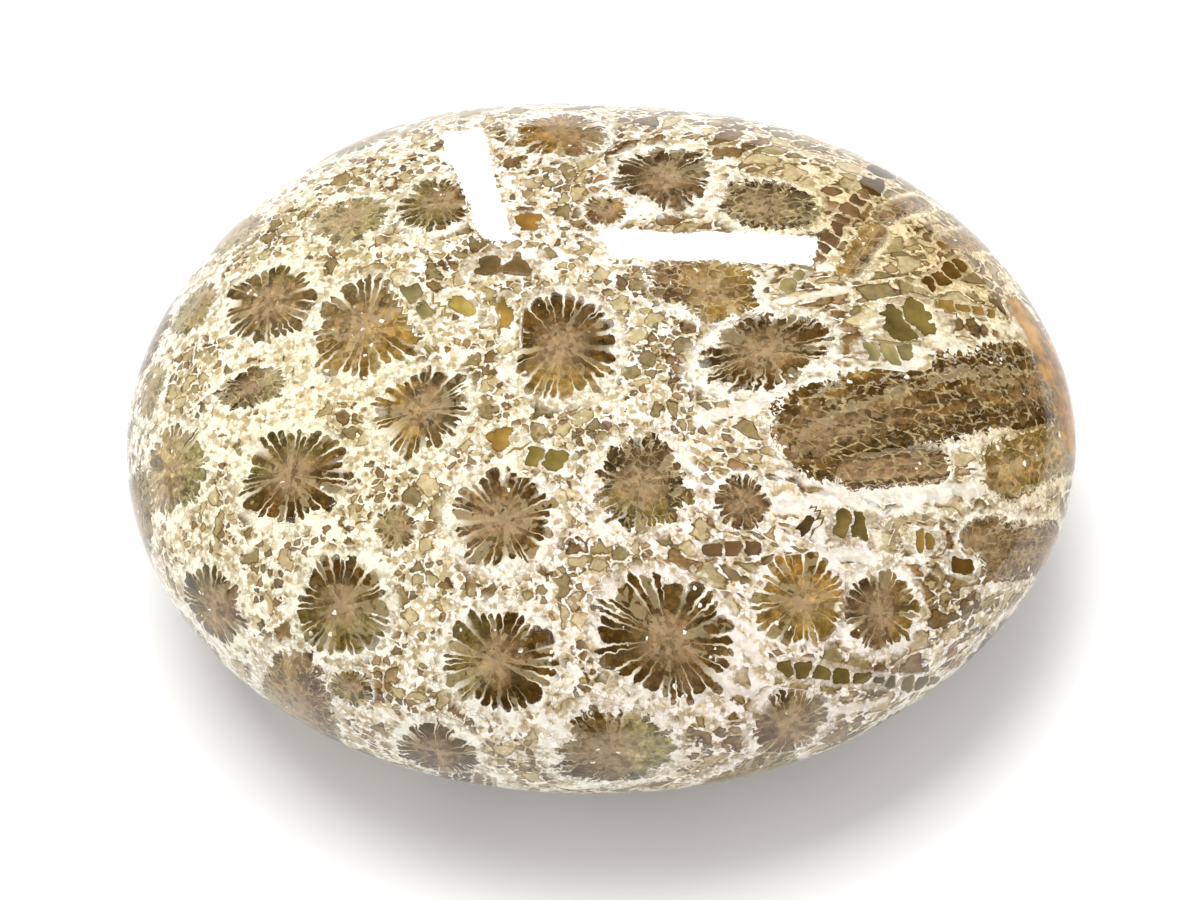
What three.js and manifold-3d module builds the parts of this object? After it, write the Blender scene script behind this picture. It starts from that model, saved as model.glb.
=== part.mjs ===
// A head of fossil coral, cut from its colony and polished to a smooth oval stone that lies in the palm.
// Millimetres, +Z up. X runs along the stone's length, with its pointed end at +X.
// The origin is on the flat rest face, under the middle of the stone's outline.
import * as THREE from "three";
import { mergeVertices } from "three/addons/utils/BufferGeometryUtils.js";
import Module from "manifold-3d";

// Driving dimensions of the finished stone.
const LENGTH = 69.6;
const WIDTH = 56;
const CROWN_HEIGHT = 27;
const BELT_HEIGHT = 12.5;

// Polishing left the belly with a flat, worn spot: this much of the belly's depth is gone there.
const REST_CUT = 0.6;

// Fullness of the profile between belt and crown, and between belt and belly. An ellipse has 2.
// Each is lower at the pointed end, where the rim is thinner, and higher at the blunt end.
const CROWN_FULLNESS = { mean: 2.2, change: 0.2 };
const BELLY_FULLNESS = { mean: 2.1, change: 0.1 };

// The crown leans this far towards the blunt end.
const CROWN_LEAN = 2;

// Low waves that turn the plan's ellipse into the stone's own outline, as shares of its radius.
const OUTLINE_WAVES = [
  { count: 2, cosine: -0.001, sine: 0.008 },
  { count: 3, cosine: 0.004, sine: 0.002 },
  { count: 4, cosine: -0.005, sine: 0.005 },
  { count: 5, cosine: -0.001, sine: -0.005 },
  { count: 6, cosine: 0.005, sine: -0.001 },
];

// The surface starts as a cube with this many squares along an edge, blown up to a ball.
const SQUARES_PER_EDGE = 24;

// Corners closer together than this are one corner.
const MERGE_DISTANCE = 1e-4;

const STONE_COLOUR = 0xd3c7ae;
const STONE_ROUGHNESS = 0.12;

// Radius of the plan outline, at the belt, in a direction given by its angle from +X.
function outlineRadius(azimuth) {
  const ellipse =
    1 /
    Math.hypot(
      Math.cos(azimuth) / (LENGTH / 2),
      Math.sin(azimuth) / (WIDTH / 2),
    );
  const waves = OUTLINE_WAVES.reduce(
    (sum, wave) =>
      sum +
      wave.cosine * Math.cos(wave.count * azimuth) +
      wave.sine * Math.sin(wave.count * azimuth),
    1,
  );
  return ellipse * waves;
}

// A cube whose squares are spread evenly over a ball of radius 1.
function unitBall() {
  const cube = new THREE.BoxGeometry(
    2,
    2,
    2,
    SQUARES_PER_EDGE,
    SQUARES_PER_EDGE,
    SQUARES_PER_EDGE,
  );
  cube.deleteAttribute("normal");
  cube.deleteAttribute("uv");
  const ball = mergeVertices(cube, MERGE_DISTANCE);
  const corner = new THREE.Vector3();
  const position = ball.getAttribute("position");
  const spread = (value) => Math.tan((value * Math.PI) / 4);
  for (let i = 0; i < position.count; i++) {
    corner.fromBufferAttribute(position, i);
    corner.set(spread(corner.x), spread(corner.y), spread(corner.z));
    corner.normalize();
    position.setXYZ(i, corner.x, corner.y, corner.z);
  }
  return ball;
}

// The place on the uncut stone that a direction from its middle points to.
function stoneSurface(direction) {
  const azimuth = Math.atan2(direction.y, direction.x);
  const above = direction.z > 0;
  const fullness = above ? CROWN_FULLNESS : BELLY_FULLNESS;
  const power = 2 / (fullness.mean - fullness.change * Math.cos(azimuth));
  const depth = above ? CROWN_HEIGHT - BELT_HEIGHT : BELT_HEIGHT + REST_CUT;
  const level = Math.hypot(direction.x, direction.y);
  const reach = outlineRadius(azimuth) * Math.pow(level, power);
  const rise =
    Math.sign(direction.z) * Math.pow(Math.abs(direction.z), power);
  const lean = above ? CROWN_LEAN * rise * rise : 0;
  return new THREE.Vector3(
    reach * Math.cos(azimuth) - lean,
    reach * Math.sin(azimuth),
    BELT_HEIGHT + depth * rise,
  );
}

// The stone before its rest face is worn flat.
function wholeStone() {
  const stone = unitBall();
  const position = stone.getAttribute("position");
  const direction = new THREE.Vector3();
  for (let i = 0; i < position.count; i++) {
    direction.fromBufferAttribute(position, i);
    const place = stoneSurface(direction);
    position.setXYZ(i, place.x, place.y, place.z);
  }
  return stone;
}

// A block that holds all of the stone above its rest face.
function spaceAboveRestFace() {
  const side = 2 * LENGTH;
  const block = new THREE.BoxGeometry(side, side, side);
  block.translate(0, 0, side / 2);
  block.deleteAttribute("normal");
  block.deleteAttribute("uv");
  return mergeVertices(block, MERGE_DISTANCE);
}

// A closed geometry as a solid that can be cut.
function solidOf(wasm, geometry) {
  return new wasm.Manifold(
    new wasm.Mesh({
      numProp: 3,
      vertProperties: new Float32Array(geometry.getAttribute("position").array),
      triVerts: new Uint32Array(geometry.index.array),
    }),
  );
}

// A cut solid as a geometry again.
function geometryOf(solid) {
  const mesh = solid.getMesh();
  const geometry = new THREE.BufferGeometry();
  geometry.setAttribute(
    "position",
    new THREE.BufferAttribute(new Float32Array(mesh.vertProperties), 3),
  );
  geometry.setIndex(new THREE.BufferAttribute(new Uint32Array(mesh.triVerts), 1));
  geometry.computeVertexNormals();
  return geometry;
}

// Moves the geometry so that the middle of its outline is over the origin.
function centreOutline(geometry) {
  geometry.computeBoundingBox();
  const middle = geometry.boundingBox.getCenter(new THREE.Vector3());
  geometry.translate(-middle.x, -middle.y, 0);
  return geometry;
}

const wasm = await Module();
wasm.setup();

const polished = solidOf(wasm, wholeStone()).intersect(
  solidOf(wasm, spaceAboveRestFace()),
);
const stone = new THREE.Mesh(
  centreOutline(geometryOf(polished)),
  new THREE.MeshStandardMaterial({
    color: STONE_COLOUR,
    roughness: STONE_ROUGHNESS,
    metalness: 0,
  }),
);
stone.name = "coral_stone";

const fossilCoralHead = new THREE.Group();
fossilCoralHead.add(stone);

export default fossilCoralHead;
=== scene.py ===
"""A palm stone of fossil coral, cut across its corallites and polished to a high gloss.

The stone is one solid. What shows on it is the cut through the coral's tubes, its corallites: white
walls and septa of coral, with clear brown chalcedony between them. Left of the middle the tubes run
upwards and are cut across, so they show as flowers. Towards the pointed end they fan outwards and are
cut lengthwise, so they show as long streaks.
"""

import logging
import math
import random
from dataclasses import dataclass
from enum import Enum

import bmesh
import bpy
import numpy as np
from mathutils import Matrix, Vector
from mathutils.bvhtree import BVHTree


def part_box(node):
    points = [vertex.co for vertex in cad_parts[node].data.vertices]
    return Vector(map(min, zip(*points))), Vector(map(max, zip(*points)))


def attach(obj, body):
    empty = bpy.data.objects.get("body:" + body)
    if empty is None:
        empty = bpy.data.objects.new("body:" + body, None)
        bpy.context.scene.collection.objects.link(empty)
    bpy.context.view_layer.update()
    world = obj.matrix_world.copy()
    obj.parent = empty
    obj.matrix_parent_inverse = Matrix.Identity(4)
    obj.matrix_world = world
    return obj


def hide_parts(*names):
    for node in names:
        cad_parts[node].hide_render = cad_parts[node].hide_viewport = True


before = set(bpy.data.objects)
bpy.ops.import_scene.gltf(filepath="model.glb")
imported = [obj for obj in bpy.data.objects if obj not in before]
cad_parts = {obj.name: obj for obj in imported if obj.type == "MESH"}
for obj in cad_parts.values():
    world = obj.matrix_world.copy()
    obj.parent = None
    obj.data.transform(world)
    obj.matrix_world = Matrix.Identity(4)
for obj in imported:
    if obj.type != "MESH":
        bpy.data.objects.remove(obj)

LOG = logging.getLogger("fossil_coral")

MM = 0.001
STONE_NODE = "coral_stone"
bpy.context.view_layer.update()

# Below this, a length or a distance counts as nothing.
TINY = 1e-6

# Keeps a distance from a tube's axis above nothing, so that it can be divided by.
NEARLY_ZERO = 0.0001

# These keep the random numbers of one tube's parts apart.
SWAY_SALT = 37.0
TURN_SALT = 5.0
PETAL_SALT = 991.0
SEPTUM_SALT = 577.0
CHAMBER_SALT = 313.0


def daylight(shade: str) -> tuple[float, float, float]:
    """Turn a display colour into the linear colour that shaders use.

    Args:
        shade: The colour as six hexadecimal digits after a hash sign.

    Returns:
        Linear red, green and blue, each from 0 to 1.
    """
    parts = [int(shade[start : start + 2], 16) / 255 for start in (1, 3, 5)]
    red, green, blue = (
        part / 12.92 if part <= 0.04045 else ((part + 0.055) / 1.055) ** 2.4
        for part in parts
    )
    return red, green, blue


@dataclass(frozen=True)
class Pixel:
    """A place in the photograph, in pixels from its top left corner."""

    x: float
    y: float


@dataclass(frozen=True)
class PhotoView:
    """Where the photograph was taken from, and how it maps onto the stone."""

    lens_mm: float = 85.0
    sensor_mm: float = 36.0
    frame_width_px: float = 1200.0
    frame_height_px: float = 900.0
    elevation_deg: float = 60.0
    distance: float = 206.6 * MM
    aim_height: float = 13.5 * MM
    aim_right: float = -0.24 * MM
    aim_up: float = -1.52 * MM
    nearest_shown: float = 0.01
    furthest_shown: float = 20.0

    def axes(self) -> tuple[Vector, Vector, Vector]:
        """Give the view's own directions.

        Returns:
            Unit vectors to the right, upwards and back towards the viewer.
        """
        tilt = math.radians(self.elevation_deg)
        back = Vector((0.0, -math.cos(tilt), math.sin(tilt)))
        right = Vector((1.0, 0.0, 0.0))
        return right, back.cross(right), back

    def eye(self) -> Vector:
        """Give the place that the photograph was taken from."""
        right, up, back = self.axes()
        aim = Vector((0.0, 0.0, self.aim_height))
        return aim + right * self.aim_right + up * self.aim_up + back * self.distance

    def ray(self, seen: Pixel) -> Vector:
        """Give the direction in which a pixel of the photograph looks.

        Args:
            seen: The pixel.

        Returns:
            A unit vector that points away from the viewer.
        """
        right, up, back = self.axes()
        step = self.sensor_mm / self.lens_mm / self.frame_width_px
        across = (seen.x - self.frame_width_px / 2) * step
        down = (seen.y - self.frame_height_px / 2) * step
        return (right * across - up * down - back).normalized()

    def pixel_size(self, place: Vector) -> float:
        """Give how wide one pixel is at a place.

        Args:
            place: A point in front of the viewer.

        Returns:
            The width in metres.
        """
        depth = (self.eye() - place).dot(self.axes()[2])
        return depth * self.sensor_mm / self.lens_mm / self.frame_width_px

    def place_camera(self) -> None:
        """Add the camera and make it the scene's own."""
        data = bpy.data.cameras.new("photo_camera")
        data.lens = self.lens_mm
        data.sensor_width = self.sensor_mm
        data.clip_start = self.nearest_shown
        data.clip_end = self.furthest_shown
        camera = bpy.data.objects.new("photo_camera", data)
        bpy.context.scene.collection.objects.link(camera)
        camera.location = self.eye()
        camera.rotation_euler = self.axes()[2].to_track_quat("Z", "Y").to_euler()
        bpy.context.scene.camera = camera


class Stain(Enum):
    """Colours of the chalcedony between the septa."""

    GREY_BROWN = "#77603c"
    DEEP_BROWN = "#5c421c"
    BROWN = "#73583a"
    OLIVE = "#6d5c30"
    GOLDEN = "#876a33"
    AMBER = "#8d682f"
    SMOKE = "#5a4629"
    GREENISH = "#8f8356"
    PALE = "#a08d69"
    YELLOW = "#988444"


@dataclass(frozen=True)
class Corallite:
    """One tube of the coral, where the polished surface cuts it.

    The cut is as wide as across_px one way, and stretch times as long the other way, which points along
    stretch_deg: 0 is to the right in the photograph, and 90 is up. Without stretch_deg it points away
    from the middle of the colony's fan. The second stain covers second_share of the flower, on the side
    that second_side_deg points to. Only a corallite that the photograph shows has a pixel in seen_at.
    """

    seen_at: Pixel | None
    across_px: float
    stain: Stain
    second: Stain = Stain.GOLDEN
    second_share: float = 0.25
    second_side_deg: float = -90.0
    stretch: float = 1.0
    stretch_deg: float | None = None
    crisp: float = 1.0
    septa: int = 26


# The corallites that the photograph shows, row by row from the blunt end to the pointed end.
SEEN_CORALLITES = (
    Corallite(Pixel(269, 302), 94, Stain.GREY_BROWN, Stain.OLIVE, 0.2, 90, 1.05),
    Corallite(Pixel(366, 325), 104, Stain.GREY_BROWN, Stain.GOLDEN, 0.55, -60, 1.08, 70),
    Corallite(Pixel(422, 410), 88, Stain.SMOKE, Stain.GOLDEN, 0.45, -150, 1.12, 45, 1, 28),
    Corallite(Pixel(291, 475), 98, Stain.DEEP_BROWN, Stain.OLIVE, 0.5, 120, 1.1, 0, 1, 28),
    Corallite(Pixel(172, 470), 88, Stain.PALE, Stain.GREENISH, 0.4, 0, 1.0, None, 0.7),
    Corallite(Pixel(503, 520), 100, Stain.DEEP_BROWN, Stain.BROWN, 0.4, 180, 1.04, 0, 1, 28),
    Corallite(Pixel(562, 345), 106, Stain.DEEP_BROWN, Stain.GOLDEN, 0.3, -90, 1.1, 90),
    Corallite(Pixel(642, 483), 96, Stain.SMOKE, Stain.OLIVE, 0.3, -90, 1.0, None, 0.45),
    Corallite(Pixel(213, 607), 86, Stain.OLIVE, Stain.BROWN, 0.4, 0, 1.0, None, 0.9, 24),
    Corallite(Pixel(341, 606), 96, Stain.OLIVE, Stain.DEEP_BROWN, 0.4, 90),
    Corallite(Pixel(498, 661), 104, Stain.DEEP_BROWN, Stain.OLIVE, 0.4, 180),
    Corallite(Pixel(669, 640), 112, Stain.DEEP_BROWN, Stain.BROWN, 0.3, -45, 1.22, -32, 1, 30),
    Corallite(Pixel(802, 600), 88, Stain.GOLDEN, Stain.AMBER, 0.3, 90, 1.06, 0, 1, 24),
    Corallite(Pixel(880, 612), 84, Stain.BROWN, Stain.GOLDEN, 0.3, 0, 1.0, None, 0.8, 22),
    Corallite(Pixel(743, 503), 56, Stain.BROWN, Stain.SMOKE, 0.3, 90, 1.0, None, 0.5, 18),
    Corallite(Pixel(615, 752), 110, Stain.DEEP_BROWN, Stain.GREENISH, 0.4, 0, 1.1, 0, 0.5),
    Corallite(Pixel(437, 752), 84, Stain.DEEP_BROWN, Stain.SMOKE, 0.3, 0, 1.0, None, 0.7, 24),
    Corallite(Pixel(791, 724), 84, Stain.BROWN, Stain.PALE, 0.3, 0, 1.0, None, 0.6, 24),
    Corallite(Pixel(350, 688), 42, Stain.OLIVE, Stain.BROWN, 0.3, 0, 1.1, 0, 0.4, 16),
    Corallite(Pixel(665, 176), 92, Stain.SMOKE, Stain.BROWN, 0.3, -90, 1.05, 60, 0.6),
    Corallite(Pixel(562, 132), 88, Stain.AMBER, Stain.BROWN, 0.4, 0, 1.0, None, 0.5),
    Corallite(Pixel(606, 210), 44, Stain.BROWN, Stain.GOLDEN, 0.3, 0, 1.0, None, 0.3, 16),
    Corallite(Pixel(438, 203), 72, Stain.OLIVE, Stain.DEEP_BROWN, 0.4, 0, 1.1, 60, 0.5, 22),
    Corallite(Pixel(350, 218), 70, Stain.PALE, Stain.GREENISH, 0.4, 0, 1.1, 0, 0.2, 22),
    Corallite(Pixel(237, 232), 60, Stain.GREENISH, Stain.PALE, 0.4, 0, 1.1, 30, 0.3, 20),
    Corallite(Pixel(195, 308), 56, Stain.GREENISH, Stain.PALE, 0.4, 0, 1.2, 60, 0.2, 20),
    Corallite(Pixel(712, 288), 76, Stain.GOLDEN, Stain.BROWN, 0.4, 180, 1.4, -8, 0.3, 24),
    Corallite(Pixel(768, 350), 80, Stain.DEEP_BROWN, Stain.SMOKE, 0.4, 180, 1.8, 25, 0.6, 28),
    Corallite(Pixel(770, 205), 76, Stain.SMOKE, Stain.GREENISH, 0.3, 0, 1.4, 10, 0.35, 26),
    Corallite(Pixel(252, 388), 44, Stain.SMOKE, Stain.GREENISH, 0.4, 0, 1.7, 0, 0.3, 18),
    Corallite(Pixel(150, 390), 50, Stain.PALE, Stain.GREENISH, 0.5, 0, 1.3, 80, 0.3, 18),
    Corallite(Pixel(395, 527), 44, Stain.OLIVE, Stain.BROWN, 0.3, 0, 1.0, None, 0.3, 16),
)


@dataclass(frozen=True)
class Lengthwise:
    """A tube that the polished surface cuts along its length.

    With chambers it is a row of that many clear cells. Without, it is a corallite whose septa run along
    it, and its axis lies sunk_share of its radius below the surface.
    """

    start: Pixel
    end: Pixel
    width_px: float
    stain: Stain
    chambers: int = 0
    second: Stain = Stain.GOLDEN
    second_share: float = 0.3
    second_side_deg: float = 180.0
    crisp: float = 0.45
    septa: int = 30
    sunk_share: float = 0.45


SEEN_LENGTHWISE = (
    Lengthwise(Pixel(835, 425), Pixel(1045, 385), 92, Stain.DEEP_BROWN, crisp=0.38),
    Lengthwise(Pixel(855, 470), Pixel(930, 464), 42, Stain.BROWN, second=Stain.PALE, crisp=0.4),
    Lengthwise(Pixel(1012, 470), Pixel(1066, 442), 62, Stain.GOLDEN, second=Stain.YELLOW, crisp=0.3),
    Lengthwise(Pixel(990, 552), Pixel(1048, 548), 62, Stain.BROWN, second=Stain.OLIVE),
    Lengthwise(Pixel(895, 535), Pixel(925, 530), 42, Stain.PALE, second=Stain.GREENISH, crisp=0.3),
    Lengthwise(Pixel(852, 266), Pixel(876, 232), 30, Stain.BROWN, second_share=0.6, crisp=0.3),
    Lengthwise(Pixel(884, 214), Pixel(922, 202), 28, Stain.BROWN, second=Stain.AMBER, crisp=0.3),
    Lengthwise(Pixel(950, 246), Pixel(985, 236), 34, Stain.AMBER, crisp=0.3),
    Lengthwise(Pixel(888, 166), Pixel(866, 190), 26, Stain.DEEP_BROWN, 2),
    Lengthwise(Pixel(868, 188), Pixel(838, 224), 19, Stain.BROWN, 4),
    Lengthwise(Pixel(840, 222), Pixel(812, 262), 21, Stain.BROWN, 4),
    Lengthwise(Pixel(812, 262), Pixel(783, 290), 15, Stain.GREENISH, 3),
    Lengthwise(Pixel(925, 288), Pixel(965, 262), 21, Stain.DEEP_BROWN, 4),
    Lengthwise(Pixel(940, 304), Pixel(1000, 316), 14, Stain.GOLDEN, 4),
    Lengthwise(Pixel(886, 328), Pixel(930, 314), 46, Stain.OLIVE, 2),
    Lengthwise(Pixel(864, 350), Pixel(914, 352), 24, Stain.GREENISH, 3),
    Lengthwise(Pixel(832, 525), Pixel(869, 526), 36, Stain.OLIVE, 2),
    Lengthwise(Pixel(796, 535), Pixel(814, 520), 18, Stain.SMOKE, 1),
    Lengthwise(Pixel(950, 562), Pixel(971, 570), 21, Stain.DEEP_BROWN, 1),
    Lengthwise(Pixel(916, 541), Pixel(934, 541), 24, Stain.GOLDEN, 2),
    Lengthwise(Pixel(775, 666), Pixel(955, 690), 22, Stain.OLIVE, 10),
    Lengthwise(Pixel(700, 550), Pixel(760, 548), 15, Stain.BROWN, 3),
    Lengthwise(Pixel(405, 282), Pixel(432, 320), 20, Stain.GREENISH, 2),
    Lengthwise(Pixel(447, 298), Pixel(485, 316), 20, Stain.YELLOW, 1),
    Lengthwise(Pixel(506, 298), Pixel(506, 338), 16, Stain.GOLDEN, 1),
    Lengthwise(Pixel(476, 268), Pixel(505, 262), 28, Stain.GREY_BROWN, 1),
    Lengthwise(Pixel(505, 266), Pixel(530, 262), 30, Stain.GREY_BROWN, 1),
    Lengthwise(Pixel(488, 440), Pixel(514, 440), 26, Stain.GOLDEN, 1),
    Lengthwise(Pixel(522, 455), Pixel(566, 462), 22, Stain.YELLOW, 2),
    Lengthwise(Pixel(514, 222), Pixel(540, 222), 26, Stain.AMBER, 1),
)


@dataclass(frozen=True)
class Band:
    """A white band of dense coral wall between lengthwise tubes."""

    start: Pixel
    end: Pixel
    width_px: float


SEEN_BANDS = (
    Band(Pixel(700, 420), Pixel(790, 395), 12),
    Band(Pixel(790, 395), Pixel(905, 364), 17),
    Band(Pixel(905, 360), Pixel(1030, 325), 15),
    Band(Pixel(780, 503), Pixel(870, 492), 17),
    Band(Pixel(870, 496), Pixel(980, 490), 20),
    Band(Pixel(980, 492), Pixel(1075, 497), 13),
    Band(Pixel(812, 510), Pixel(822, 560), 14),
    Band(Pixel(822, 558), Pixel(870, 552), 16),
    Band(Pixel(765, 285), Pixel(868, 160), 8),
    Band(Pixel(790, 300), Pixel(850, 290), 8),
    Band(Pixel(730, 690), Pixel(860, 708), 12),
    Band(Pixel(860, 708), Pixel(960, 672), 10),
    Band(Pixel(700, 610), Pixel(760, 660), 12),
)

# The amber edge at the pointed end: amber chalcedony, with painted light shining through the thin edge.
SEEN_LIT_AMBER_EDGE = (
    Band(Pixel(1028, 320), Pixel(1058, 378), 46),
    Band(Pixel(1058, 378), Pixel(1070, 432), 40),
)

# Painted reflection: a thin greyish band along the top left and left rims, where the polished edge
# mirrors something dark at a grazing angle.
SEEN_RIM_REFLECTION = (
    Band(Pixel(330, 160), Pixel(400, 132), 11),
    Band(Pixel(400, 132), Pixel(500, 108), 13),
    Band(Pixel(126, 470), Pixel(150, 580), 8),
)


class Tone(Enum):
    """Colours of the coral's own white parts."""

    WHITE = "#f8f2e2"
    PINKISH = "#f5e9dd"
    CREAM = "#f3eccd"
    TAN = "#e6cf9c"
    # AMBER tints the amber edge at the pointed end, with painted light shining through it.
    AMBER = "#c98a3c"


@dataclass(frozen=True)
class Wash:
    """A soft patch where the white coral has another tone."""

    seen_at: Pixel
    reach_px: float
    tone: Tone
    share: float = 1.0


SEEN_WASHES = (
    Wash(Pixel(330, 420), 170, Tone.CREAM),
    Wash(Pixel(330, 250), 110, Tone.CREAM, 0.7),
    Wash(Pixel(560, 440), 110, Tone.CREAM, 0.6),
    Wash(Pixel(200, 540), 110, Tone.CREAM, 0.5),
    Wash(Pixel(640, 560), 150, Tone.PINKISH),
    Wash(Pixel(560, 230), 120, Tone.PINKISH, 0.7),
    Wash(Pixel(800, 650), 170, Tone.PINKISH),
    Wash(Pixel(860, 210), 110, Tone.TAN, 0.8),
    Wash(Pixel(960, 260), 90, Tone.TAN),
    Wash(Pixel(1040, 430), 80, Tone.TAN),
    # This wash is part of the amber edge, with painted light shining through it.
    Wash(Pixel(1062, 370), 34, Tone.AMBER),
    Wash(Pixel(1050, 560), 60, Tone.TAN, 0.6),
)


@dataclass(frozen=True)
class Fan:
    """How the coral's tubes run: upwards at its middle, and further outwards the further off they are."""

    middle_x: float = -15.0
    middle_y: float = -5.0
    turn_reach: float = 28.0
    turn_power: float = 3.5
    most_tilt: float = 1.45
    grain_starts: float = 20.0
    grain_ramp: float = 5.0
    grain_squeeze: float = 0.2

    def direction(self, place: np.ndarray) -> np.ndarray:
        """Give the direction in which the tubes run.

        Args:
            place: A place in millimetres.

        Returns:
            A unit vector.
        """
        out = np.array([place[0] - self.middle_x, place[1] - self.middle_y, 0.0])
        reach = float(np.linalg.norm(out))
        if reach < TINY:
            return np.array([0.0, 0.0, 1.0])
        tilt = min(math.atan((reach / self.turn_reach) ** self.turn_power), self.most_tilt)
        return out / reach * math.sin(tilt) + np.array([0.0, 0.0, math.cos(tilt)])

    def drawn_in(self, places: np.ndarray) -> np.ndarray:
        """Pull places in along the fan, so that cells of even size there come out drawn out.

        Args:
            places: One row for each place, in millimetres.

        Returns:
            One row for each, unchanged near the fan's middle.
        """
        x = places[:, 0] - self.middle_x
        y = places[:, 1] - self.middle_y
        out = np.maximum(np.hypot(x, y), TINY)
        past = np.maximum(out - self.grain_starts, 0.0)
        turning = self.grain_ramp * (1.0 - np.exp(-past / self.grain_ramp))
        shorter = np.minimum(out, self.grain_starts) + past * self.grain_squeeze
        shorter += (1.0 - self.grain_squeeze) * turning
        factor = shorter / out
        return np.stack([x * factor, y * factor, places[:, 2]], axis=1)


@dataclass(frozen=True)
class Tube:
    """A corallite or a row of chambers in the stone: a straight round tube, in millimetres."""

    middle: np.ndarray
    along: np.ndarray
    radius: float
    half_length: float
    marks: Corallite | Lengthwise
    seed: float

    def cross_axes(self) -> tuple[np.ndarray, np.ndarray]:
        """Give two unit vectors square to the tube and to each other."""
        helper = np.array([1.0, 0.0, 0.0])
        if abs(self.along[0]) > 0.8:
            helper = np.array([0.0, 1.0, 0.0])
        first = helper - self.along * float(helper @ self.along)
        first /= np.linalg.norm(first)
        return first, np.cross(self.along, first)

    def measure(self, places: np.ndarray) -> tuple[np.ndarray, np.ndarray]:
        """Find where places lie in the tube.

        Args:
            places: One row for each place, in millimetres.

        Returns:
            Each place's distance from the tube's axis as a share of its radius, with round ends, and
            each place across and along the tube, also as shares of its radius.
        """
        first, second = self.cross_axes()
        offset = places - self.middle
        along = offset @ self.along
        across = np.stack([offset @ first, offset @ second], axis=1)
        past_end = np.maximum(np.abs(along) - self.half_length, 0.0)
        reach = np.sqrt((across**2).sum(axis=1) + past_end**2) / self.radius
        local = np.concatenate([across, along[:, None]], axis=1) / self.radius
        return reach, local

    def second_side(self) -> list[float]:
        """Give the side that has the second stain.

        Returns:
            Its direction across the tube, as two numbers, and the share that it covers.
        """
        turn = math.radians(self.marks.second_side_deg)
        heading = np.array([math.cos(turn), math.sin(turn), 0.0])
        first, second = self.cross_axes()
        return [float(heading @ first), float(heading @ second), self.marks.second_share]

    def chambers(self) -> int:
        """Give the number of chambers: 0 in a corallite."""
        return self.marks.chambers if isinstance(self.marks, Lengthwise) else 0

    def form(self) -> list[float]:
        """Give the half length as a share of the radius, the chambers, and 1 for a row of them."""
        chambers = float(self.chambers())
        return [self.half_length / self.radius, chambers, min(chambers, 1.0)]


@dataclass
class PolishedStone:
    """The stone's visible surface, made on the CAD solid."""

    squares_per_edge: int = 16
    relax_factor: float = 0.5
    relax_rounds: int = 2
    smooth_levels: int = 3

    def build(self) -> bpy.types.Object:
        """Model the surface.

        Returns:
            The finished object, with its place in its mesh.
        """
        low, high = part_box(STONE_NODE)
        middle = (low + high) / 2
        target = self.merged_copy()
        bpy.ops.object.select_all(action="DESELECT")
        bpy.ops.mesh.primitive_cube_add(size=2.0, location=middle)
        stone = bpy.context.object
        stone.name = "polished_stone"
        bpy.ops.object.mode_set(mode="EDIT")
        bpy.ops.mesh.select_all(action="SELECT")
        bpy.ops.mesh.subdivide(number_cuts=self.squares_per_edge - 1)
        bpy.ops.object.mode_set(mode="OBJECT")
        self.round_off(stone.data)
        stone.scale = (high - low) / 2
        bpy.ops.object.transform_apply(location=True, rotation=True, scale=True)
        wrap = stone.modifiers.new("wrap", "SHRINKWRAP")
        wrap.target = target
        wrap.wrap_method = "NEAREST_SURFACEPOINT"
        bpy.ops.object.modifier_apply(modifier=wrap.name)
        bpy.data.objects.remove(target)
        relax = stone.modifiers.new("relax", "SMOOTH")
        relax.factor = self.relax_factor
        relax.iterations = self.relax_rounds
        bpy.ops.object.modifier_apply(modifier=relax.name)
        finer = stone.modifiers.new("finer", "SUBSURF")
        finer.levels = self.smooth_levels
        finer.render_levels = self.smooth_levels
        bpy.ops.object.modifier_apply(modifier=finer.name)
        bpy.ops.object.shade_smooth()
        return stone

    def merged_copy(self) -> bpy.types.Object:
        """Copy the CAD solid, with its loose triangles joined up.

        Returns:
            The copy, linked to the scene.
        """
        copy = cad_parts[STONE_NODE].copy()
        copy.data = copy.data.copy()
        copy.parent = None
        bpy.context.scene.collection.objects.link(copy)
        joined = bmesh.new()
        joined.from_mesh(copy.data)
        bmesh.ops.remove_doubles(joined, verts=joined.verts, dist=TINY)
        joined.to_mesh(copy.data)
        joined.free()
        return copy

    def round_off(self, mesh: bpy.types.Mesh) -> None:
        """Blow a cube of squares up to a ball of radius 1, with the squares spread evenly.

        Args:
            mesh: The cube, from -1 to 1 along each axis.
        """
        corners = np.empty(len(mesh.vertices) * 3)
        mesh.vertices.foreach_get("co", corners)
        corners = np.tan(corners.reshape(-1, 3) * math.pi / 4)
        corners /= np.linalg.norm(corners, axis=1)[:, None]
        mesh.vertices.foreach_set("co", corners.ravel())
        mesh.update()


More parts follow.
